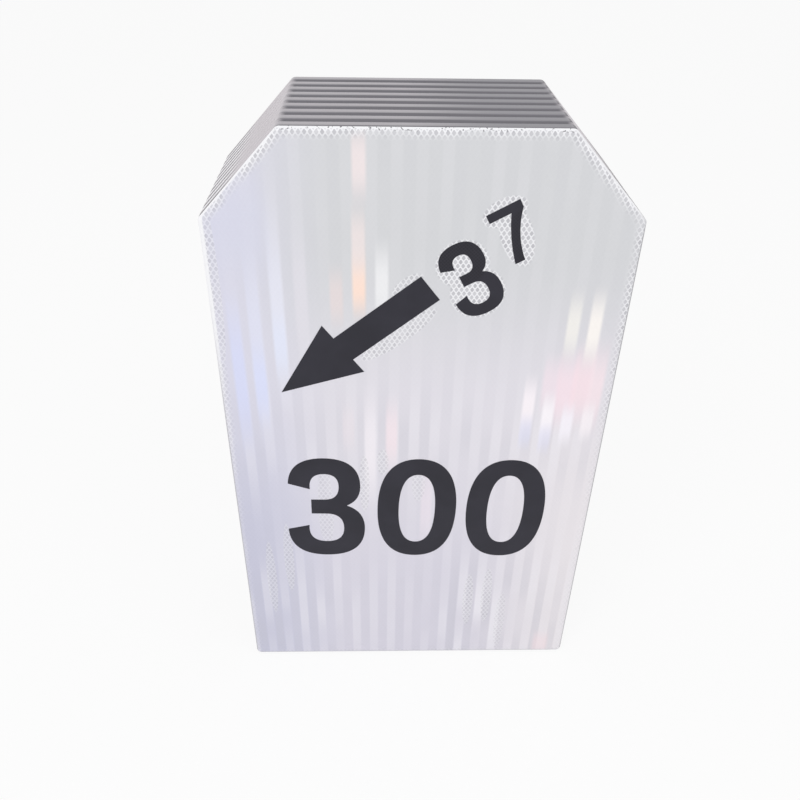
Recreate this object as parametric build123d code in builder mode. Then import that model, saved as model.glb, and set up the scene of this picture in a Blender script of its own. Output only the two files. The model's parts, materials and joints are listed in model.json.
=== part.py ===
from build123d import *

import os
from math import atan, cos, degrees, radians, sin, sqrt, tan

# A stack of gradient marker signs, standing upright and facing -Y.
# Millimetres. +X is the viewer's right, +Y runs back through the stack, +Z is up.
# The origin is the middle of the stack's footprint.
# Each sign is drawn with its metal face at y = 0, then set in its place in the stack.

os.makedirs("parts", exist_ok=True)

# Stack
sign_count = 9
stack_gap = 0.3  # air between a sign's lip and the film of the sign behind it

# Board outline
sign_width = 300.0
sign_height = 500.0
shoulder_cut = 56.0  # level leg of the corner cut
shoulder_drop = 59.3  # upright leg of the corner cut
corner_radius = 4.5

# Formed aluminium sheet
sheet_thickness = 1.5
rim_depth = 14.5  # from the metal face to the back of the lip
front_bend_radius = 2.3  # inside of the bend
rear_bend_radius = 2.0  # inside of the bend
lip_width = 8.0  # from the outside of the rim to the lip's free edge
lip_corner_radius = 5.0

# Retroreflective film and vinyl legend
film_thickness = 0.4
film_edge_clearance = 0.05  # how far the wrapped film stays inside the rim
vinyl_thickness = 0.15

# Arrow
arrow_length = 140.0
arrow_head_length = 60.8
arrow_head_width = 49.0
arrow_shaft_width = 22.5
arrow_angle = 38.1
arrow_tail_x = 6.1  # middle of the square end
arrow_tail_drop = 108.1  # from the board's top edge to the middle of the square end

# Gradient figure: a digit and its raised tenths digit, on a line of their own slope
gradient_height = 57.5
gradient_angle = 28.5
gradient_gap = 10.7  # from the arrow's tail to the digit, along the slope
gradient_drop = 7.3  # how far the digit's middle lies below the tail's middle, across the slope
tenths_height = 40.8
tenths_gap = 8.7
tenths_rise = 24.5  # baseline of the tenths above the baseline of the digit

# Length figure
length_height = 107.4
length_gap = 8.8
length_x = 2.1  # middle of the middle digit
length_drop = 64.6  # from the arrow's tip to the top of the digits
length_angle = -0.8

# Drawing of the numerals, as shares of their height
numeral_width = 0.622
stem = 0.167  # upright strokes
bar = 0.151  # level strokes
waist = 0.144
fullness = 0.66  # handle length of the round strokes: 0.55 is an ellipse, 1 a box

# Rails on the back
rail_end_distance = 40.0  # from the board's side to the rail's end
rail_edge_distance = 100.0  # from the board's top or bottom edge to the rail's middle
rail_crown_width = 30.0
rail_flange_width = 12.0
rail_thickness = 2.0
rail_bend_radius = 1.5  # inside of the bend
rail_setback = 0.5  # rail crown in front of the back of the lip
bolt_end_distance = 30.0  # from the rail's end
bolt_hole_diameter = 9.0

# Rivets
rivet_diameter = 3.2
rivet_head_diameter = 6.0
rivet_land = 0.7  # straight part of the hole below the countersink
rivet_tail_diameter = 5.6
rivet_tail_height = 1.2
rivet_hole_clearance = 0.05
rivet_end_distance = 15.0  # from the rail's end

sign_pitch = film_thickness + rim_depth + stack_gap
stack_depth = vinyl_thickness + film_thickness + rim_depth + (sign_count - 1) * sign_pitch
first_face_y = -stack_depth / 2 + vinyl_thickness + film_thickness

# Outside radii of the bends, as far as the rim and the corners leave room for them
bend_room = min(0.9 * corner_radius, 0.45 * rim_depth)
front_bend = min(front_bend_radius + sheet_thickness, bend_room)
rear_bend = min(rear_bend_radius + sheet_thickness, bend_room)
film_wrap = front_bend - sqrt((front_bend + film_thickness) ** 2 - (front_bend - film_edge_clearance) ** 2)

rail_length = sign_width - 2 * rail_end_distance
rail_middles = (sign_height - rail_edge_distance, rail_edge_distance)
rail_crown_y = rim_depth - rail_setback
rail_web = rail_crown_y - sheet_thickness - rail_thickness
rail_bend = min(rail_bend_radius + rail_thickness / 2, 0.45 * rail_web)  # at mid-thickness
bolt_spacing = rail_length - 2 * bolt_end_distance
rivet_spacing = rail_length - 2 * rivet_end_distance
rivet_offset = (rail_crown_width + rail_bend_radius + rail_flange_width) / 2  # from the rail's middle
rivet_head_depth = sheet_thickness - rivet_land
rivet_points = [
    (x, z + side * rivet_offset)
    for z in rail_middles
    for side in (1, -1)
    for x in (-rivet_spacing / 2, rivet_spacing / 2)
]
film_face = Plane.XZ.offset(film_thickness)


def board_outline(inset, radius):
    half = sign_width / 2 - inset
    low = inset
    high = sign_height - inset
    slant = sqrt(shoulder_cut**2 + shoulder_drop**2)
    cut = shoulder_cut + inset * ((slant - shoulder_cut) / shoulder_drop - 1)
    drop = shoulder_drop + inset * ((slant - shoulder_drop) / shoulder_cut - 1)
    with BuildSketch() as outline:
        with BuildLine():
            Polyline(
                (half, low),
                (half, high - drop),
                (half - cut, high),
                (cut - half, high),
                (-half, high - drop),
                (-half, low),
                close=True,
            )
        make_face()
        fillet(outline.vertices(), radius)
    return outline.sketch


def board_blank(inset, front, back, front_radius, back_radius):
    radius = corner_radius - inset
    outline = board_outline(inset, radius)
    with BuildPart() as blank:
        with BuildSketch(Plane.XZ.offset(-front)):
            add(outline)
        extrude(amount=front - back)
        fillet(blank.faces().sort_by(Axis.Y)[0].edges(), front_radius)
        fillet(blank.faces().sort_by(Axis.Y)[-1].edges(), back_radius)
    return blank.part


def egg(middle, half_width, up, down):
    x, y = middle
    with BuildSketch() as face:
        with BuildLine():
            for across in (half_width, -half_width):
                for along in (up, -down):
                    Bezier(
                        (x + across, y),
                        (x + across, y + fullness * along),
                        (x + fullness * across, y + along),
                        (x, y + along),
                    )
        make_face()
    return face.sketch


def numeral_zero(height):
    half_width = numeral_width * height / 2
    counter_half_width = half_width - stem * height
    counter_half_height = height / 2 - bar * height
    rim = egg((0, 0), half_width, height / 2, height / 2)
    counter = egg((0, 0), counter_half_width, counter_half_height, counter_half_height)
    with BuildSketch() as glyph:
        add(rim)
        add(counter, mode=Mode.SUBTRACT)
    return glyph.sketch


def open_bowl(middle, half_width, up, down, counter_up, counter_down, terminal, toward):
    # A ring that is open on its left, between the slanted terminal and the waist
    x, y = middle
    pivot, slope = terminal
    reach = 2 * half_width
    ring = egg(middle, half_width, up, down)
    counter = egg(middle, half_width - stem, counter_up, counter_down)
    with BuildSketch() as bowl:
        add(ring)
        add(counter, mode=Mode.SUBTRACT)
        with BuildLine():
            Polyline(
                (x, pivot),
                (x - reach, pivot - reach * tan(radians(slope))),
                (x - reach, toward),
                (x, toward),
                close=True,
            )
        make_face(mode=Mode.SUBTRACT)
    return bowl.sketch


def numeral_three(height):
    # Drawn one unit tall about its middle, then scaled
    waist_middle = 0.021
    waist_top = waist_middle + waist / 2
    waist_bottom = waist_middle - waist / 2
    waist_left = -0.128
    upper_middle = (-0.023, 0.225)
    lower_middle = (-0.012, -0.205)
    upper_half_width = 0.279
    lower_half_width = numeral_width / 2 - 0.005
    upper_down = 0.225
    lower_up = 0.265
    upper_terminal = (0.162, -18)
    lower_terminal = (-0.140, 14)
    upper_up = 0.5 - upper_middle[1]
    lower_down = 0.5 + lower_middle[1]
    upper = open_bowl(
        upper_middle,
        upper_half_width,
        upper_up,
        upper_down,
        upper_up - bar,
        upper_middle[1] - waist_top,
        upper_terminal,
        upper_middle[1] - upper_down,
    )
    lower = open_bowl(
        lower_middle,
        lower_half_width,
        lower_up,
        lower_down,
        waist_bottom - lower_middle[1],
        lower_down - bar,
        lower_terminal,
        lower_middle[1] + lower_up,
    )
    with BuildSketch() as glyph:
        add(upper)
        add(lower)
        with BuildLine():
            Polyline(
                (waist_left, waist_bottom),
                (lower_middle[0], waist_bottom),
                (lower_middle[0], waist_top),
                (waist_left, waist_top),
                close=True,
            )
        make_face()
        scale(by=height)
    return glyph.sketch


def numeral_seven(height):
    # Drawn one unit tall about its middle, then scaled
    half_width = 0.303
    bar_bottom = 0.5 - bar
    heel = (half_width, 0.360)
    crook = (0.085, bar_bottom)
    inner_middle = (-0.094, -0.077)
    outer_middle = (0.078, -0.044)
    foot_right = -0.024
    foot_left = -0.201
    with BuildSketch() as glyph:
        with BuildLine():
            Polyline(heel, (half_width, 0.5), (-half_width, 0.5), (-half_width, bar_bottom), crook)
            ThreePointArc(crook, inner_middle, (foot_left, -0.5))
            Line((foot_left, -0.5), (foot_right, -0.5))
            ThreePointArc((foot_right, -0.5), outer_middle, heel)
        make_face()
        scale(by=height)
    return glyph.sketch


def arrow_shape():
    # Points along -X with the middle of its tail at the origin
    neck = arrow_head_length - arrow_length
    with BuildSketch() as glyph:
        with BuildLine():
            Polyline(
                (0, arrow_shaft_width / 2),
                (neck, arrow_shaft_width / 2),
                (neck, arrow_head_width / 2),
                (-arrow_length, 0),
                (neck, -arrow_head_width / 2),
                (neck, -arrow_shaft_width / 2),
                (0, -arrow_shaft_width / 2),
                close=True,
            )
        make_face()
    return glyph.sketch


def vinyl(glyph, x, z, angle):
    with BuildPart() as piece:
        with BuildSketch(film_face):
            with Locations(Location((x, z), angle)):
                add(glyph)
        extrude(amount=vinyl_thickness)
    return piece.part


def rail(middle):
    # Hat section: two flanges on the panel's back and a crown that takes the bolts
    half = (rail_crown_width - rail_thickness) / 2
    foot = rail_crown_width / 2 + rail_flange_width
    base = sheet_thickness + rail_thickness / 2
    crown = rail_crown_y - rail_thickness / 2
    with BuildPart() as hat:
        with BuildSketch(Plane.YZ.offset(-rail_length / 2)):
            with BuildLine():
                FilletPolyline(
                    (base, middle - foot),
                    (base, middle - half),
                    (crown, middle - half),
                    (crown, middle + half),
                    (base, middle + half),
                    (base, middle + foot),
                    radius=rail_bend,
                )
            trace(line_width=rail_thickness)
        extrude(amount=rail_length)
        with BuildSketch(Plane.XZ.offset(-rail_crown_y)):
            with Locations((0, middle)):
                with GridLocations(bolt_spacing, 0, 2, 1):
                    Circle(bolt_hole_diameter / 2)
        extrude(amount=rail_thickness, mode=Mode.SUBTRACT)
        with BuildSketch(Plane.XZ.offset(-sheet_thickness)):
            with Locations((0, middle)):
                with GridLocations(rivet_spacing, 2 * rivet_offset, 2, 2):
                    Circle(rivet_diameter / 2 + rivet_hole_clearance)
        extrude(amount=-rail_thickness, mode=Mode.SUBTRACT)
    return hat.part


panel_blank = board_blank(0, 0, rim_depth, front_bend, rear_bend)
panel_hollow = board_blank(
    sheet_thickness,
    sheet_thickness,
    rim_depth - sheet_thickness,
    front_bend - sheet_thickness,
    rear_bend - sheet_thickness,
)
film_blank = board_blank(-film_thickness, -film_thickness, rim_depth, front_bend + film_thickness, rear_bend)
lip_opening = board_outline(lip_width, lip_corner_radius)

with BuildPart() as panel:
    add(panel_blank)
    add(panel_hollow, mode=Mode.SUBTRACT)
    with BuildSketch(Plane.XZ.offset(-rim_depth)):
        add(lip_opening)
    extrude(amount=2 * sheet_thickness, mode=Mode.SUBTRACT)
    with Locations(Plane.XZ):
        with Locations(*rivet_points):
            CounterSinkHole(
                rivet_diameter / 2 + rivet_hole_clearance,
                rivet_head_diameter / 2 + rivet_hole_clearance,
                2 * sheet_thickness,
                2 * degrees(atan((rivet_head_diameter - rivet_diameter) / 2 / rivet_head_depth)),
            )

with BuildPart() as sheeting:
    add(film_blank)
    add(panel_blank, mode=Mode.SUBTRACT)
    split(bisect_by=Plane.XZ.offset(-film_wrap), keep=Keep.TOP)

with BuildPart() as rivet:
    grip = sheet_thickness + rail_thickness
    with BuildSketch(Plane.XY):
        with BuildLine():
            Polyline(
                (0, grip + rivet_tail_height),
                (0, 0),
                (rivet_head_diameter / 2, 0),
                (rivet_diameter / 2, rivet_head_depth),
                (rivet_diameter / 2, grip),
                (rivet_tail_diameter / 2, grip),
            )
            RadiusArc(
                (rivet_tail_diameter / 2, grip),
                (0, grip + rivet_tail_height),
                -(rivet_tail_diameter**2 / 4 + rivet_tail_height**2) / (2 * rivet_tail_height),
            )
        make_face()
    revolve(axis=Axis.Y)

with BuildPart() as rivets:
    with Locations(*[(x, 0, z) for x, z in rivet_points]):
        add(rivet.part)

upper_rail = rail(rail_middles[0])
lower_rail = rail(rail_middles[1])

# Places of the legend on the face
arrow_tail_z = sign_height - arrow_tail_drop
arrow_tip_z = arrow_tail_z - arrow_length * sin(radians(arrow_angle))
length_z = arrow_tip_z - length_drop - length_height / 2
along = (cos(radians(gradient_angle)), sin(radians(gradient_angle)))
across = (-along[1], along[0])


def on_slope(distance, rise):
    return (
        arrow_tail_x + distance * along[0] + rise * across[0],
        arrow_tail_z + distance * along[1] + rise * across[1],
    )


gradient_width = numeral_width * gradient_height
tenths_width = numeral_width * tenths_height
gradient_place = on_slope(gradient_gap + gradient_width / 2, -gradient_drop)
tenths_place = on_slope(
    gradient_gap + gradient_width + tenths_gap + tenths_width / 2,
    tenths_rise - gradient_drop + (tenths_height - gradient_height) / 2,
)
length_pitch = numeral_width * length_height + length_gap
length_step = (length_pitch * cos(radians(length_angle)), length_pitch * sin(radians(length_angle)))
length_places = [(length_x + k * length_step[0], length_z + k * length_step[1]) for k in (-1, 0, 1)]

legend = {
    "arrow": vinyl(arrow_shape(), arrow_tail_x, arrow_tail_z, arrow_angle),
    "gradient_digit": vinyl(numeral_three(gradient_height), *gradient_place, gradient_angle),
    "tenths_digit": vinyl(numeral_seven(tenths_height), *tenths_place, gradient_angle),
    "length_digit_left": vinyl(numeral_three(length_height), *length_places[0], length_angle),
    "length_digit_middle": vinyl(numeral_zero(length_height), *length_places[1], length_angle),
    "length_digit_right": vinyl(numeral_zero(length_height), *length_places[2], length_angle),
}

with BuildPart() as whole_legend:
    for piece in legend.values():
        add(piece)

sign_pieces = {
    "panel": panel.part,
    "sheeting": sheeting.part,
    "upper_rail": upper_rail,
    "lower_rail": lower_rail,
    "rivets": rivets.part,
}


def write(piece, name, index):
    placed = piece.moved(Location((0, first_face_y + index * sign_pitch, 0)))
    placed.label = name
    export_step(placed, f"parts/{name}.step")


for index in range(sign_count):
    vinyl_pieces = legend if index == 0 else {"legend": whole_legend.part}
    for name, piece in {**sign_pieces, **vinyl_pieces}.items():
        write(piece, f"sign_{index + 1}_{name}", index)
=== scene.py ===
import json
import math
import bpy
from mathutils import Matrix, Vector

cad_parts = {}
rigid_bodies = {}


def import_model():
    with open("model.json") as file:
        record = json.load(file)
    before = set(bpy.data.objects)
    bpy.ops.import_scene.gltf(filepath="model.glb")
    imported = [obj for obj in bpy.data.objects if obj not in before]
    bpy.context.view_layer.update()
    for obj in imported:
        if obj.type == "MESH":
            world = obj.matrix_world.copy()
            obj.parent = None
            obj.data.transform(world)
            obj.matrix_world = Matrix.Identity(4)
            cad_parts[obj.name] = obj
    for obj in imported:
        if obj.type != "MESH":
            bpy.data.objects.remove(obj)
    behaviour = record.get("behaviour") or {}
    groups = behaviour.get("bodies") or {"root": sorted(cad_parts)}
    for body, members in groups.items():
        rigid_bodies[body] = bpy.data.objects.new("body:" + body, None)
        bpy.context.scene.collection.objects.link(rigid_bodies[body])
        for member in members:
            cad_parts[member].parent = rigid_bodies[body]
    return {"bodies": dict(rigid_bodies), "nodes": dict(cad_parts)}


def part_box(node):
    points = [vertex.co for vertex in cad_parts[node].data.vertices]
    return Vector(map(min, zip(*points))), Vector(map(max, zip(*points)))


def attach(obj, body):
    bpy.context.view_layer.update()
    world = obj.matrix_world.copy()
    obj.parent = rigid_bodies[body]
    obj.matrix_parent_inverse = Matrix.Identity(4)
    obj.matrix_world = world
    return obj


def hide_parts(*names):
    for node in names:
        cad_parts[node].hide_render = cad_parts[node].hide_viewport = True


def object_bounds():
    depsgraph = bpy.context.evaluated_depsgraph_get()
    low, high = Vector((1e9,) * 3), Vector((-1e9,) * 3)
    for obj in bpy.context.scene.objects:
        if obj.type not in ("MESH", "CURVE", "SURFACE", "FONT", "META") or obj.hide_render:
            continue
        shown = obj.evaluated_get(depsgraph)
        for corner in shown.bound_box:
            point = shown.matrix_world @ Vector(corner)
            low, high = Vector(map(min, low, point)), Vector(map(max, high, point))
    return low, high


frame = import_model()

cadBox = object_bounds()
scene = bpy.context.scene
scene.view_settings.view_transform = "Standard"
perMetre = 1000.0  # finishes are written in millimetres, the frame is in metres
signs = sorted(frame["bodies"])  # sign_1 is the front board
print("frame loaded:", len(frame["nodes"]), "nodes on", len(signs), "signs")


# screen values from 0 to 255, made linear by the standard curve
def srgb(red, green, blue):
    shares = [c / 255 for c in (red, green, blue)]
    return (*[s / 12.92 if s <= 0.04045 else ((s + 0.055) / 1.055) ** 2.4 for s in shares], 1.0)


# one socket of a node tree: arithmetic on it adds Math nodes
class Field:
    def __init__(self, tree, socket=None):
        self.tree = tree
        self.socket = socket

    def node(self, kind, settings=(), sockets=(), output=0):
        made = self.tree.nodes.new(kind)
        for name, value in dict(settings).items():
            setattr(made, name, value)
        for name, value in dict(sockets).items():
            if isinstance(value, Field):
                self.tree.links.new(value.socket, made.inputs[name])
            else:
                made.inputs[name].default_value = value
        return Field(self.tree, made.outputs[output])

    def maths(self, operation, *values):
        return self.node("ShaderNodeMath", {"operation": operation}, dict(enumerate(values)))

    def __add__(self, other):
        return self.maths("ADD", self, other)

    def __radd__(self, other):
        return self.maths("ADD", other, self)

    def __sub__(self, other):
        return self.maths("SUBTRACT", self, other)

    def __rsub__(self, other):
        return self.maths("SUBTRACT", other, self)

    def __mul__(self, other):
        return self.maths("MULTIPLY", self, other)

    def __rmul__(self, other):
        return self.maths("MULTIPLY", other, self)

    def __truediv__(self, other):
        return self.maths("DIVIDE", self, other)

    def __rtruediv__(self, other):
        return self.maths("DIVIDE", other, self)

    def __abs__(self):
        return self.maths("ABSOLUTE", self)

    def least(self, other):
        return self.maths("MINIMUM", self, other)

    def most(self, other):
        return self.maths("MAXIMUM", self, other)

    def floor(self):
        return self.maths("FLOOR", self)

    def wrap(self):
        return self.maths("FRACT", self)

    # 0 at start, 1 at end, eased between
    def ease(self, start, end):
        sockets = {"Value": self, "From Min": start, "From Max": end}
        return self.node("ShaderNodeMapRange", {"interpolation_type": "SMOOTHSTEP"}, sockets)

    # 0 becomes the given value, 1 stays
    def lift(self, lowest):
        return self * (1 - lowest) + lowest


# inputs 6 and 7 and output 2 are the node's colours
def mixColour(factor, first, second):
    return factor.node("ShaderNodeMix", {"data_type": "RGBA"}, {0: factor, 6: first, 7: second}, 2)


def joinVector(x, y, z):
    field = next(v for v in (x, y, z) if isinstance(v, Field))
    return field.node("ShaderNodeCombineXYZ", {}, {0: x, 1: y, 2: z})


# noise over a place, stretched by its own scale on each axis
def noise(place, scales, detail):
    vector = joinVector(*[axis * scale for axis, scale in zip(place, scales)])
    sockets = {"Vector": vector, "Scale": 1.0, "Detail": detail}
    return vector.node("ShaderNodeTexNoise", {"noise_dimensions": "3D"}, sockets)


# a Principled material, and its place in millimetres as x, y, z
def newMaterial(name, steady):
    material = bpy.data.materials.new(name)
    material.use_nodes = True
    tree = material.node_tree
    shader = next(n for n in tree.nodes if n.type == "BSDF_PRINCIPLED")
    for socket, value in steady.items():
        shader.inputs[socket].default_value = value
    place = Field(tree).node("ShaderNodeTexCoord", {}, {}, "Object")
    split = [place.node("ShaderNodeSeparateXYZ", {}, {0: place}, k) for k in range(3)]
    return material, shader, [axis * perMetre for axis in split]


def feed(shader, socket, field):
    field.tree.links.new(field.socket, shader.inputs[socket])


def emboss(shader, height, strength, distance):
    bump = height.node("ShaderNodeBump", {}, {"Height": height, "Strength": strength, "Distance": distance})
    feed(shader, "Normal", bump)


# the boards' own sizes in millimetres, read from the panels where their boxes show them
panelLow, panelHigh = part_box("sign_1_panel")
board = {
    "halfWidth": panelHigh.x * perMetre,
    "height": panelHigh.z * perMetre,
    "cutWidth": 56.0,  # legs of the corner cut
    "cutHeight": 59.3,
    "front": panelLow.y * perMetre,
    "pitch": (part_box("sign_2_panel")[0].y - panelLow.y) * perMetre,
    "filmRoom": 0.55,  # film and vinyl lie this far in front of their panel, at most
}
board["topHalf"] = board["halfWidth"] - board["cutWidth"]  # half the length of the top edge
print("board:", {k: round(v, 2) for k, v in board.items()})

# zones along the edge in millimetres: where each starts, and where it is full
# every pair of numbers in the finishes below is such a start and end
zones = {
    "topEnds": (3.0, -4.0),  # past the ends of the top edge
    "top": (12.0, 8.0),  # below the top
    "lowerCut": (26.0, 44.0),
}


def edgeDistance(x, z):
    wide, tall = board["cutWidth"], board["cutHeight"]
    side = board["halfWidth"] - abs(x)
    top = board["height"] - z
    cut = (side * tall + top * wide - wide * tall) / math.hypot(wide, tall)
    return side.least(z).least(top).least(cut)


# 0 at the first distance below the top of the board, 1 at the second
def belowTop(z, start, end):
    return z.ease(board["height"] - start, board["height"] - end)


# 1 along the top edge, 0 on the corner cuts and everywhere lower
def topEdge(x, z):
    start, end = zones["topEnds"]
    middle = abs(x).ease(board["topHalf"] + start, board["topHalf"] + end)
    return middle * belowTop(z, *zones["top"])


# 1 from the lower part of the corner cuts down, 0 on their upper part
def lowerCut(z):
    return belowTop(z, *zones["lowerCut"])


# how deep a point lies in its own sign, and which sign it is, counted from the front
def signDepth(y):
    run = (y - board["front"] + board["filmRoom"]) / board["pitch"]
    index = run.floor()
    return (run - index) * board["pitch"] - board["filmRoom"], index


# slow change of the film's tone over the face, in shares of the height and of the half width
tones = {
    "foot": srgb(217, 214, 226),
    "middle": srgb(224, 221, 229),
    "top": srgb(211, 212, 215),
    "footToMiddle": (0.2, 0.55),
    "middleToTop": (0.58, 0.85),
    "leftHaze": srgb(217, 216, 231),
    "leftTint": srgb(200, 200, 219),
    "leftSide": (-0.35, -1.0),
    "leftFade": (0.3, 0.65),  # the tints fade on the way up
    "rightTint": srgb(234, 229, 233),
    "rightSide": (0.2, 1.0),
    "rightFade": (0.35, 0.75),
}


def filmTone(side, level):
    ground = mixColour(level.ease(*tones["footToMiddle"]), tones["foot"], tones["middle"])
    ground = mixColour(level.ease(*tones["middleToTop"]), ground, tones["top"])
    left = side.ease(*tones["leftSide"])
    right = side.ease(*tones["rightSide"])
    ground = mixColour(left, ground, tones["leftHaze"])
    ground = mixColour(left * (1 - level.ease(*tones["leftFade"])), ground, tones["leftTint"])
    return mixColour(right * (1 - level.ease(*tones["rightFade"])), ground, tones["rightTint"])


# upright bands of prisms, light and dark by turns, strongest at the foot, each with its own soft ends
bands = {
    "width": 8.2,
    "start": -6.2,
    "light": srgb(242, 240, 246),
    "dark": srgb(194, 193, 204),
    "darkShare": 0.7,
    "seam": (0.36, 0.5),  # from a band's middle, in widths
    "seamLoss": 0.7,
    "swayScale": (3.7, 0.0, 0.012),  # from band to band, and up
    "sway": (0.25, 0.7),
    "footFade": (0.1, 0.36),  # shares of the height
    "waistLevel": 0.52,
    "waistReach": 0.14,
    "leftSide": (-0.3, -0.7),  # shares of the half width
    "rightSide": (0.1, 0.4),
    "rightEnd": (0.6, 0.9),
    "strength": {  # what each place adds; the three sides only at the foot
        "all": 0.1,
        "waist": 0.25,
        "foot": 0.18,
        "leftSide": 0.2,
        "rightSide": 0.5,
        "rightEnd": -0.35,
    },
}


def filmBands(ground, x, z, side, level):
    run = (x - bands["start"]) / bands["width"]
    band = run.floor()
    inBand = 1 - abs(run - band - 0.5).ease(*bands["seam"]) * bands["seamLoss"]
    turn = (band * 0.5).wrap() * 2.0  # 0 and 1 by turns
    sway = noise((band, 0.0, z), bands["swayScale"], detail=1.0)
    foot = 1 - level.ease(*bands["footFade"])
    waist = abs(level - bands["waistLevel"]).ease(bands["waistReach"], 0.0)
    strength = bands["strength"]
    atFoot = strength["foot"]
    for name in ("leftSide", "rightSide", "rightEnd"):
        atFoot = atFoot + side.ease(*bands[name]) * strength[name]
    contrast = foot * atFoot + waist * strength["waist"] + strength["all"]
    amount = contrast * sway.ease(*bands["sway"]) * inBand
    ground = mixColour(amount * (1 - turn), ground, bands["light"])
    return mixColour(amount * turn * bands["darkShare"], ground, bands["dark"])


# painted highlights: gleams that the prisms throw, painted into the film's colour: middle x and z, half
# width and half height in mm, colour, strength
paintedGleams = [
    (-44, 394, 5, 32, srgb(255, 226, 210), 0.95),
    (-44, 424, 5, 34, srgb(244, 230, 228), 0.7),
    (-43, 478, 5, 32, srgb(246, 232, 232), 0.75),
    (-28, 394, 5, 40, srgb(243, 243, 245), 0.8),
    (-60, 384, 5, 30, srgb(236, 220, 218), 0.6),
    (-102, 376, 5, 90, srgb(230, 231, 244), 0.8),
    (-102, 345, 5, 38, srgb(226, 232, 252), 0.6),
    (-119, 345, 5, 105, srgb(224, 226, 244), 0.75),
    (-119, 312, 5, 46, srgb(216, 222, 252), 0.7),
    (-134, 318, 5, 84, srgb(214, 219, 249), 0.8),
    (-85, 384, 5, 70, srgb(227, 224, 232), 0.6),
    (-128, 438, 24, 58, srgb(213, 214, 231), 0.65),
    (101, 312, 7, 34, srgb(244, 227, 236), 0.7),
    (113, 306, 8, 44, srgb(249, 226, 235), 0.8),
    (125, 310, 8, 46, srgb(250, 226, 233), 0.8),
    (136, 308, 6, 50, srgb(250, 230, 236), 0.75),
    (127, 360, 5, 38, srgb(254, 249, 244), 0.9),
    (111, 362, 5, 34, srgb(250, 247, 240), 0.7),
    (86, 293, 5, 34, srgb(252, 245, 250), 0.9),
    (86, 268, 5, 22, srgb(222, 224, 248), 0.5),
    (102, 282, 5, 30, srgb(253, 248, 253), 0.9),
    (102, 262, 5, 20, srgb(226, 226, 248), 0.5),
    (118, 275, 5, 26, srgb(248, 244, 252), 0.9),
    (134, 278, 5, 24, srgb(250, 244, 248), 0.8),
    (-37, 250, 5, 74, srgb(243, 238, 244), 0.85),
    (-20, 264, 5, 44, srgb(246, 230, 236), 0.8),
    (-54, 272, 5, 32, srgb(234, 226, 232), 0.6),
    (10, 190, 5, 60, srgb(242, 230, 240), 0.5),
    (128, 12, 8, 24, srgb(246, 224, 228), 0.5),
]

# where the lattice shows inside the face: middle x and z, half width and height in mm, turn, strength
haloes = [
    (27.5, 410, 20, 18.5, 28, 0.9),
    (39.5, 388.5, 21, 20, 28, 0.9),
    (53.5, 447, 17, 10, 28, 0.8),
    (63, 431, 12, 25, 20, 0.85),
    (-16, 355, 36, 8, 38, 0.6),
    (-10, 394, 14, 6, 38, 0.6),
    (-145, 395, 5, 70, 0, 0.4),
    (-42, 215, 4.5, 32, 0, 0.4),
    (-27, 238, 5, 14, 0, 0.4),
    (-75, 188, 7, 48, 0, 0.3),
    (3, 215, 6, 20, 0, 0.3),
    (-127, 105, 4.5, 48, 0, 0.35),
    (-110, 130, 4.5, 44, 0, 0.35),
    (53, 75, 5, 36, 0, 0.4),
    (70, 80, 5, 38, 0, 0.4),
    (85, 45, 5, 42, 0, 0.3),
]

# how these spots fade in, in shares of their half sizes
fades = {"gleamAcross": (1.2, 0.6), "gleamAlong": (1.0, 0.1), "halo": (1.0, 0.75)}


# one painted highlight, mixed into the film's colour
def paintedGleam(ground, x, z, spot):
    midX, midZ, halfWidth, halfHeight, colour, strength = spot
    across = abs(x - midX).ease(*[halfWidth * share for share in fades["gleamAcross"]])
    along = abs(z - midZ).ease(*[halfHeight * share for share in fades["gleamAlong"]])
    return mixColour(across * along * strength, ground, colour)


def halo(x, z, spot):
    midX, midZ, halfWidth, halfHeight, turn, strength = spot
    cosine, sine = math.cos(math.radians(turn)), math.sin(math.radians(turn))
    across = ((x - midX) * cosine + (z - midZ) * sine) / halfWidth
    along = ((z - midZ) * cosine - (x - midX) * sine) / halfHeight
    return (across * across + along * along).ease(*fades["halo"]) * strength


# rounded cells between white seals, which stand out along the edges and in the haloes
lattice = {
    "cellWidth": 3.73,  # spacing in mm, across and up
    "cellHeight": 5.9,
    "shiftUp": 1.5,
    "cellEnd": (1.8, 1.3),  # above and below a cell's middle
    "sealSide": (0.24, 0.6),  # from a seal's middle line
    "seal": srgb(240, 240, 243),
    "cell": srgb(182, 181, 187),
    "paleCell": 0.45,  # the palest cells come this near to the seals' colour
    "edge": (9.0, 1.0),  # in from the board's edge
    "upper": (0.35, 0.85),  # shares of the height
    "lowShare": 0.2,  # what is left low on the face
    "patchScale": (0.04, 0.0, 0.04),
    "patch": (0.36, 0.58),
    "patchShare": 0.45,  # what is left between the patches
    "faint": 0.02,
    "bumpStrength": 0.15,
    "bumpHeight": 0.0001,  # metres
}


# 1 on the seals and 0 in the cells, and one random tone for each cell
def filmLattice(x, z):
    wide, tall = lattice["cellWidth"], lattice["cellHeight"]
    across, up = x / wide, (z - lattice["shiftUp"]) / tall
    rows = (across + up, across - up)
    offset = [row.wrap() - 0.5 for row in rows]
    lineGap = 1 / math.hypot(1 / wide, 1 / tall)
    toLine = (0.5 - abs(offset[0]).most(abs(offset[1]))) * lineGap
    height = abs(offset[0] - offset[1]) * (tall / 2)
    cell = toLine.ease(*lattice["sealSide"]) * height.ease(*lattice["cellEnd"])
    key = joinVector(rows[0].floor(), rows[1].floor(), 0.0)
    tone = key.node("ShaderNodeTexWhiteNoise", {"noise_dimensions": "3D"}, {"Vector": key})
    return 1 - cell, tone


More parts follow.
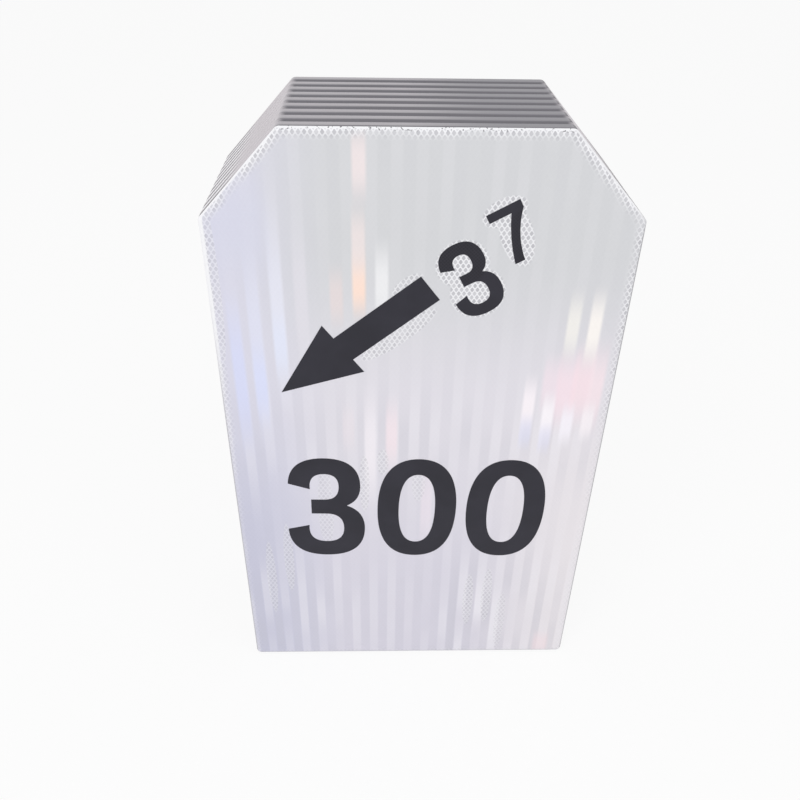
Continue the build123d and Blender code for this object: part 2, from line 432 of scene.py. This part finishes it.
# how strongly the lattice shows
def latticeStrength(x, z, level, edge):
    upper = level.ease(*lattice["upper"]).lift(lattice["lowShare"])
    patch = noise((x, 0.0, z), lattice["patchScale"], detail=1.0)
    patch = patch.ease(*lattice["patch"]).lift(lattice["patchShare"])
    strength = (edge.ease(*lattice["edge"]) * upper * patch).most(lattice["faint"])
    for spot in haloes:
        strength = strength.most(halo(x, z, spot))
    return strength


# the film's edge over the bends, with painted light and shade: a white painted highlight above and on the
# left, grey painted shade lower down, darker on the right and on the bottom bend; real dirt specks along
# the top
# distances in from the edge are in mm, levels and sides are shares of the height and of the half width
rims = {
    # painted highlight on the rim above and on the left
    "white": srgb(245, 245, 248),
    "width": (1.6, 0.64),
    # painted shade on the rim lower down
    "greyShade": srgb(186, 184, 191),
    "greyLevel": (0.8, 0.5),
    # painted shade on the right rim
    "right": srgb(158, 156, 161),
    "rightSide": (0.4, 0.8),
    "rightLevel": (0.9, 0.86),
    "leftWidth": (3.9, 2.6),  # the left rim is wider, and white: a painted highlight
    "leftLevel": (0.55, 0.75),
    "foot": srgb(184, 182, 190),  # painted shade on the bottom bend
    "footWidth": (4.0, 1.0),
    "speck": srgb(96, 94, 100),
    "speckScale": (0.55, 0.0, 0.9),
    "speckNoise": (0.58, 0.64),
    "speckWidth": (2.8, 1.2),
    "speckShare": 0.9,
}


def filmRim(ground, x, z, side, level, edge):
    # painted highlight on the left rim, painted shade on the bottom bend and the right rim, then the rim's
    # painted light and shade along the edge; real dirt specks last
    left = (x + board["halfWidth"]).ease(*rims["leftWidth"]) * level.ease(*rims["leftLevel"])
    ground = mixColour(left, ground, rims["white"])
    ground = mixColour(z.ease(*rims["footWidth"]), ground, rims["foot"])
    right = side.ease(*rims["rightSide"]) * level.ease(*rims["rightLevel"])
    rimLightAndShade = mixColour(level.ease(*rims["greyLevel"]), rims["white"], rims["greyShade"])
    rimLightAndShade = mixColour(right, rimLightAndShade, rims["right"])
    ground = mixColour(edge.ease(*rims["width"]), ground, rimLightAndShade)
    dirt = noise((x, 0.0, z), rims["speckScale"], detail=3.0).ease(*rims["speckNoise"])
    speck = dirt * edge.ease(*rims["speckWidth"]) * topEdge(x, z) * rims["speckShare"]
    return mixColour(speck, ground, rims["speck"])


# film wrapped over the bends of the boards behind the front one, with painted shade: dark along the top,
# where the grooves between the boards lie, and grey on the upper corner cuts
wraps = {
    "paleShade": srgb(206, 201, 205),  # painted shade on the upper part of the corner cuts
    "grooveShade": srgb(107, 105, 111),  # painted shade along the top, in the grooves between the boards
    "depth": (-0.25, 0.25),  # behind the front of the panel, in mm
    "behind": (0.2, 0.8),  # 0 is the front sign, 1 the next
}


def filmWrap(ground, x, y, z):
    depth, index = signDepth(y)
    wrapped = depth.ease(*wraps["depth"]) * index.ease(*wraps["behind"])
    # painted shade on the wrapped film: grey on the upper corner cuts, dark along the top
    ground = mixColour(wrapped * (1 - lowerCut(z)), ground, wraps["paleShade"])
    return mixColour(wrapped * topEdge(x, z), ground, wraps["grooveShade"])


# prismatic film: tone, bands and painted highlights, then the lattice, the cut edge with its painted light
# and shade, and the wrapped bends with painted shade
def filmMaterial():
    steady = {"Roughness": 0.32, "Specular IOR Level": 0.4, "Coat Weight": 0.15, "Coat Roughness": 0.1}
    material, shader, (x, y, z) = newMaterial("prismaticFilm", steady)
    level = z / board["height"]
    side = x / board["halfWidth"]
    edge = edgeDistance(x, z)
    ground = filmBands(filmTone(side, level), x, z, side, level)
    # painted highlights
    for spot in paintedGleams:
        ground = paintedGleam(ground, x, z, spot)
    seal, tone = filmLattice(x, z)
    cells = mixColour(seal.most(tone * lattice["paleCell"]), lattice["cell"], lattice["seal"])
    ground = mixColour(latticeStrength(x, z, level, edge), ground, cells)
    ground = filmRim(ground, x, z, side, level, edge)
    feed(shader, "Base Color", filmWrap(ground, x, y, z))
    emboss(shader, seal, lattice["bumpStrength"], lattice["bumpHeight"])
    return material


# charcoal vinyl, cut and laid on the film; dots print through the gradient figure
vinyl = {
    "colour": srgb(48, 47, 56),
    "deep": srgb(42, 41, 49),
    "cloudScale": (0.03, 0.03, 0.03),
    "cloud": (0.3, 0.7),
    "dot": srgb(30, 29, 34),
    "dotPitch": 1.25,
    "dotSide": (0.42, 0.3),  # from a dot's middle, in shares of a row
    "printed": [(28, 412, 20, 18, 28, 0.6), (68, 424, 10, 26, 12, 0.5)],  # spots as in haloes
}


def vinylMaterial():
    steady = {"Roughness": 0.55, "Specular IOR Level": 0.25}
    material, shader, (x, y, z) = newMaterial("charcoalVinyl", steady)
    cloud = noise((x, y, z), vinyl["cloudScale"], detail=3.0)
    ground = mixColour(cloud.ease(*vinyl["cloud"]), vinyl["colour"], vinyl["deep"])
    rows = [line / (2 * vinyl["dotPitch"]) for line in (x + z, x - z)]
    offset = [abs(row.wrap() - 0.5) for row in rows]
    dot = offset[0].most(offset[1]).ease(*vinyl["dotSide"])
    for spot in vinyl["printed"]:
        ground = mixColour(dot * halo(x, z, spot), ground, vinyl["dot"])
    feed(shader, "Base Color", ground)
    return material


# formed aluminium sheet, with painted light and shade: the sides lighter than the top, and painted shade in
# the front bends along the top; lengths in mm
sheet = {
    "colour": srgb(186, 183, 188),
    "dull": srgb(168, 166, 172),
    "lineScale": (0.9, 2.0, 0.012),  # fine upright rolling lines
    "lineShare": 0.6,
    "cloudScale": (0.012, 0.012, 0.012),
    "cloudShare": 0.3,
    "uneven": (0.3, 0.7),
    "roughness": 0.36,
    "lineRoughness": 0.12,
    "outside": (1.7, 1.2),  # in from the board's edge: the outer skin
    # painted light: the sides and corner cuts lighter than the top
    "side": srgb(194, 188, 193),
    # painted shade along the bends of the sides
    "sideBendShade": srgb(128, 125, 130),
    "sideBendShadeDepth": (2.9, 2.2),  # behind the front of the panel
    # painted shade in the bends near the shoulders
    "shoulderShade": srgb(58, 56, 60),
    "shoulderShadeDepth": (7.6, 3.6),
    "shoulderFoot": (72.0, 54.0),  # below the top
    # painted shade: the top land darker than the sides, more so towards its right end
    "top": srgb(172, 168, 173),
    "topRightShade": srgb(139, 137, 143),
    "topRightX": (-20.0, 50.0),
    # painted shade in the front bends along the top, less towards their ends
    "bend": srgb(107, 105, 111),
    "bendDepth": (6.8, 2.4),
    "bendEnds": srgb(127, 125, 131),
    "bendMiddleX": -15.0,
    "bendReach": (20.0, 62.0),  # to both sides of its middle
    "cornerShadeLine": srgb(92, 90, 96),  # painted shade line at the right end of the top
    "cornerWidth": (1.6, 0.6),
    "cornerFoot": (6.0, 4.0),  # below the top
    "cornerShare": 0.8,
}


def sheetMaterial():
    material, shader, (x, y, z) = newMaterial("formedSheet", {"Metallic": 1.0})
    lines = noise((x, y, z), sheet["lineScale"], detail=3.0)
    cloud = noise((x, y, z), sheet["cloudScale"], detail=2.0)
    uneven = lines.ease(*sheet["uneven"]) * sheet["lineShare"]
    uneven = uneven + cloud.ease(*sheet["uneven"]) * sheet["cloudShare"]
    ground = mixColour(uneven, sheet["colour"], sheet["dull"])

    # sides and corner cuts, painted lighter than the top, with painted shade along their bends and near the
    # shoulders
    depth = signDepth(y)[0]
    outside = edgeDistance(x, z).ease(*sheet["outside"])
    side = outside * (1 - topEdge(x, z))
    ground = mixColour(side, ground, sheet["side"])
    ground = mixColour(side * depth.ease(*sheet["sideBendShadeDepth"]), ground, sheet["sideBendShade"])
    shoulder = lowerCut(z) * belowTop(z, *sheet["shoulderFoot"])
    shade = side * shoulder * depth.ease(*sheet["shoulderShadeDepth"])
    ground = mixColour(shade, ground, sheet["shoulderShade"])

    # top, painted darker than the sides, with painted shade on the bend in front and a painted shade line
    # at its right end
    top = outside * topEdge(x, z)
    land = mixColour(x.ease(*sheet["topRightX"]), sheet["top"], sheet["topRightShade"])
    ground = mixColour(top, ground, land)
    aside = abs(x - sheet["bendMiddleX"])
    bend = mixColour(aside.ease(*sheet["bendReach"]), sheet["bend"], sheet["bendEnds"])
    ground = mixColour(top * depth.ease(*sheet["bendDepth"]), ground, bend)
    corner = abs(x - board["topHalf"]).ease(*sheet["cornerWidth"]) * belowTop(z, *sheet["cornerFoot"])
    ground = mixColour(outside * corner * sheet["cornerShare"], ground, sheet["cornerShadeLine"])
    feed(shader, "Base Color", ground)
    feed(shader, "Roughness", sheet["roughness"] + lines * sheet["lineRoughness"])
    return material


# rails and rivets on the back, with fine lines along the rail
rails = {
    "colour": srgb(192, 192, 196),
    "line": srgb(160, 160, 166),
    "lineScale": (0.004, 2.2, 2.2),
    "lines": (0.35, 0.65),
    "scuffScale": (0.05, 0.05, 0.05),
    "scuffs": (0.55, 0.75),
    "scuffShare": 0.4,
    "roughness": 0.3,
    "scuffRoughness": 0.2,
    "rivet": srgb(200, 200, 203),
}


def railMaterial():
    material, shader, (x, y, z) = newMaterial("extrudedRail", {"Metallic": 1.0})
    lines = noise((x, y, z), rails["lineScale"], detail=3.0)
    scuffs = noise((x, y, z), rails["scuffScale"], detail=4.0)
    ground = mixColour(lines.ease(*rails["lines"]), rails["colour"], rails["line"])
    ground = mixColour(scuffs.ease(*rails["scuffs"]) * rails["scuffShare"], ground, rails["line"])
    feed(shader, "Base Color", ground)
    feed(shader, "Roughness", rails["roughness"] + scuffs * rails["scuffRoughness"])
    return material


def rivetMaterial():
    steady = {"Base Color": rails["rivet"], "Metallic": 1.0, "Roughness": rails["roughness"]}
    return newMaterial("brightRivet", steady)[0]


# by the end of a node's name; the legend's pieces have many names, and all of them are vinyl
finishes = {
    "sheeting": filmMaterial(),
    "panel": sheetMaterial(),
    "rail": railMaterial(),
    "rivets": rivetMaterial(),
    "vinyl": vinylMaterial(),
}
for name, node in frame["nodes"].items():
    finish = next((finishes[k] for k in finishes if name.endswith(k)), finishes["vinyl"])
    node.data.materials.clear()
    node.data.materials.append(finish)
print("finishes set:", ", ".join(finishes))

# blind rivets: flush head in the face, shank, and a domed tail with the ball of its pulled pin
rivet = {
    "sizes": {"Head": 6.0, "Shank": 3.2, "Tail": 5.6, "Pin": 2.4, "Head depth": 0.8, "Tail height": 1.2},
    "domeShare": 0.8,  # of the tail's height; the pin's ball stands above it
    "sides": 24,
    "rings": 10,
}


def rivetTree():
    tree = bpy.data.node_groups.new("blindRivets", "GeometryNodeTree")
    tree.interface.new_socket("Places", in_out="INPUT", socket_type="NodeSocketGeometry")
    for name in (*rivet["sizes"], "Length"):
        tree.interface.new_socket(name, in_out="INPUT", socket_type="NodeSocketFloat")
    tree.interface.new_socket("Rivets", in_out="OUTPUT", socket_type="NodeSocketGeometry")
    start = Field(tree)
    inlets = tree.nodes.new("NodeGroupInput").outputs
    size = {socket.name: Field(tree, socket) for socket in inlets if socket.name}
    half = {name: size[name] * 0.5 for name in ("Head", "Shank", "Tail", "Pin")}
    grip = size["Length"] - size["Tail height"]
    straight = grip - size["Head depth"]

    def placed(shape, height, wide, tall):
        sockets = {
            "Geometry": shape,
            "Translation": joinVector(0.0, 0.0, height),
            "Scale": joinVector(wide, wide, tall),
        }
        return start.node("GeometryNodeTransform", {}, sockets)

    taper = {"Radius Bottom": half["Head"], "Radius Top": half["Shank"], "Depth": size["Head depth"]}
    head = start.node("GeometryNodeMeshCone", {}, {"Vertices": rivet["sides"], **taper})
    unit = {"Radius": 1.0, "Depth": 1.0}
    rod = start.node("GeometryNodeMeshCylinder", {}, {"Vertices": rivet["sides"], **unit})
    ball = start.node("GeometryNodeMeshUVSphere", {}, {"Segments": rivet["sides"], "Rings": rivet["rings"]})
    shapes = (
        head,
        placed(rod, grip - straight * 0.5, half["Shank"], straight),
        placed(ball, grip, half["Tail"], size["Tail height"] * rivet["domeShare"]),
        placed(ball, grip, half["Pin"], size["Tail height"]),
    )
    whole = start.node("GeometryNodeJoinGeometry")
    for shape in shapes:
        tree.links.new(shape.socket, whole.socket.node.inputs[0])
    turn = {"Geometry": whole, "Rotation": (-math.pi / 2, 0.0, 0.0)}  # head to the front
    turned = start.node("GeometryNodeTransform", {}, turn)
    smooth = start.node("GeometryNodeSetShadeSmooth", {}, {0: turned})
    spread = start.node("GeometryNodeInstanceOnPoints", {}, {"Points": size["Places"], "Instance": smooth})
    real = start.node("GeometryNodeRealizeInstances", {}, {0: spread})
    painted = start.node("GeometryNodeSetMaterial", {}, {"Geometry": real, "Material": finishes["rivets"]})
    tree.links.new(painted.socket, tree.nodes.new("NodeGroupOutput").inputs[0])
    return tree


# four rivets on each rail, at the same distance from its middle
def rivetPlaces(sign):
    low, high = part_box(f"{sign}_rivets")
    inset = rivet["sizes"]["Head"] / 2 / perMetre
    railSpans = [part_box(f"{sign}_{name}") for name in ("upper_rail", "lower_rail")]
    middles = [(bottom.z + top.z) / 2 for bottom, top in railSpans]
    offset = high.z - inset - middles[0]
    columns = (low.x + inset, high.x - inset)
    return [(x, low.y, z + step) for z in middles for step in (offset, -offset) for x in columns]


def makeRivets(tree, sign):
    low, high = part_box(f"{sign}_rivets")
    mesh = bpy.data.meshes.new(f"{sign}Places")
    mesh.from_pydata(rivetPlaces(sign), [], [])
    piece = bpy.data.objects.new(f"{sign}_blindRivets", mesh)
    scene.collection.objects.link(piece)
    modifier = piece.modifiers.new("blindRivets", "NODES")
    modifier.node_group = tree
    sizes = {**rivet["sizes"], "Length": (high.y - low.y) * perMetre}
    for socket in tree.interface.items_tree:
        if socket.name in sizes:
            modifier[socket.identifier] = sizes[socket.name] / perMetre
    graph = bpy.context.evaluated_depsgraph_get()
    finished = bpy.data.meshes.new_from_object(piece.evaluated_get(graph))
    piece.modifiers.clear()
    piece.data = finished
    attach(piece, sign)
    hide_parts(f"{sign}_rivets")


blindRivets = rivetTree()
for sign in signs:
    makeRivets(blindRivets, sign)
print("rivets made on", len(signs), "signs")

# floor and light, in metres and watts
studio = {
    "white": (1, 1, 1, 1),
    "floor": srgb(240, 240, 240),
    "floorSize": 14.0,
    "floorShade": 0.12,  # how much of the floor's own shading the viewer sees
    "worldStrength": 0.66,
    "lights": {
        "keyLight": {"place": (-1.1, -1.7, 1.9), "size": 1.6, "power": 21.0},
        "fillLight": {"place": (1.6, -1.2, 1.2), "size": 1.4, "power": 6.5},
    },
}


# 1 for rays that show the background: straight, mirrored or through glass
def seenRays(start):
    names = ("Is Camera Ray", "Is Glossy Ray", "Is Transmission Ray")
    straight, mirrored, through = (start.node("ShaderNodeLightPath", {}, {}, name) for name in names)
    return straight.most(mirrored).most(through)


# one surface for the light on the object, and another for the rays that show the background
def mixSurface(factor, lit, seen, outputKind):
    mixed = factor.node("ShaderNodeMixShader", {}, {0: factor, 1: lit, 2: seen})
    output = mixed.tree.nodes.new(outputKind)
    mixed.tree.links.new(mixed.socket, output.inputs["Surface"])


def makeFloor():
    half = studio["floorSize"] / 2
    mesh = bpy.data.meshes.new("floor")
    corners = [(-half, -half, 0), (half, -half, 0), (half, half, 0), (-half, half, 0)]
    mesh.from_pydata(corners, [], [(0, 1, 2, 3)])
    floor = bpy.data.objects.new("floor", mesh)
    scene.collection.objects.link(floor)
    material = bpy.data.materials.new("paleFloor")
    material.use_nodes = True
    material.node_tree.nodes.clear()
    start = Field(material.node_tree)
    matt = start.node("ShaderNodeBsdfDiffuse", {}, {"Color": studio["floor"]})
    white = start.node("ShaderNodeEmission", {}, {"Color": studio["white"], "Strength": 1.0})
    mixSurface(seenRays(start) * (1 - studio["floorShade"]), matt, white, "ShaderNodeOutputMaterial")
    mesh.materials.append(material)


def makeLight(name, setting, aim):
    lamp = bpy.data.lights.new(name, "AREA")
    lamp.shape = "DISK"
    lamp.size = setting["size"]
    lamp.energy = setting["power"]
    light = bpy.data.objects.new(name, lamp)
    light.location = setting["place"]
    light.rotation_euler = (aim - light.location).to_track_quat("-Z", "Y").to_euler()
    scene.collection.objects.link(light)


def makeWorld():
    world = bpy.data.worlds.new("studio")
    scene.world = world
    world.use_nodes = True
    world.node_tree.nodes.clear()
    start = Field(world.node_tree)
    strengths = (studio["worldStrength"], 1.0)
    soft, white = (
        start.node("ShaderNodeBackground", {}, {"Color": studio["white"], "Strength": strength})
        for strength in strengths
    )
    mixSurface(seenRays(start), soft, white, "ShaderNodeOutputWorld")


makeFloor()
for name, setting in studio["lights"].items():
    makeLight(name, setting, (cadBox[0] + cadBox[1]) / 2)
makeWorld()
print("studio set")

# the viewer stands in front of the stack, a little left, looking down
viewer = {
    "fromFace": (-0.0312, -0.5212, 0.6410),  # from the foot of the front film, in metres
    "azimuth": 1.985,
    "elevation": 36.83,
    "roll": -1.106,
    "framePixels": 800.0,
    "focal": 809.5,  # in pixels of that frame
    "drop": 49.9,  # optical axis below the frame's middle, in pixels
    "sensor": 36.0,
    "nearest": 0.01,  # nothing closer is drawn
}


def makeCamera():
    camera = bpy.data.objects.new("viewer", bpy.data.cameras.new("viewer"))
    turn, tilt, roll = (math.radians(viewer[k]) for k in ("azimuth", "elevation", "roll"))
    ahead = Vector((math.sin(turn) * math.cos(tilt), math.cos(turn) * math.cos(tilt), -math.sin(tilt)))
    level = Vector((math.cos(turn), -math.sin(turn), 0))
    down = ahead.cross(level)
    right = math.cos(roll) * level + math.sin(roll) * down
    up = math.sin(roll) * level - math.cos(roll) * down
    rotation = Matrix((right, up, -ahead)).transposed()
    faceFoot = Vector((0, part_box("sign_1_sheeting")[0].y, 0))
    camera.matrix_world = Matrix.Translation(faceFoot + Vector(viewer["fromFace"])) @ rotation.to_4x4()
    camera.data.sensor_width = viewer["sensor"]
    camera.data.lens = viewer["focal"] / viewer["framePixels"] * viewer["sensor"]
    camera.data.shift_y = viewer["drop"] / viewer["framePixels"]
    camera.data.clip_start = viewer["nearest"]
    scene.collection.objects.link(camera)
    scene.camera = camera


makeCamera()
print("camera set")
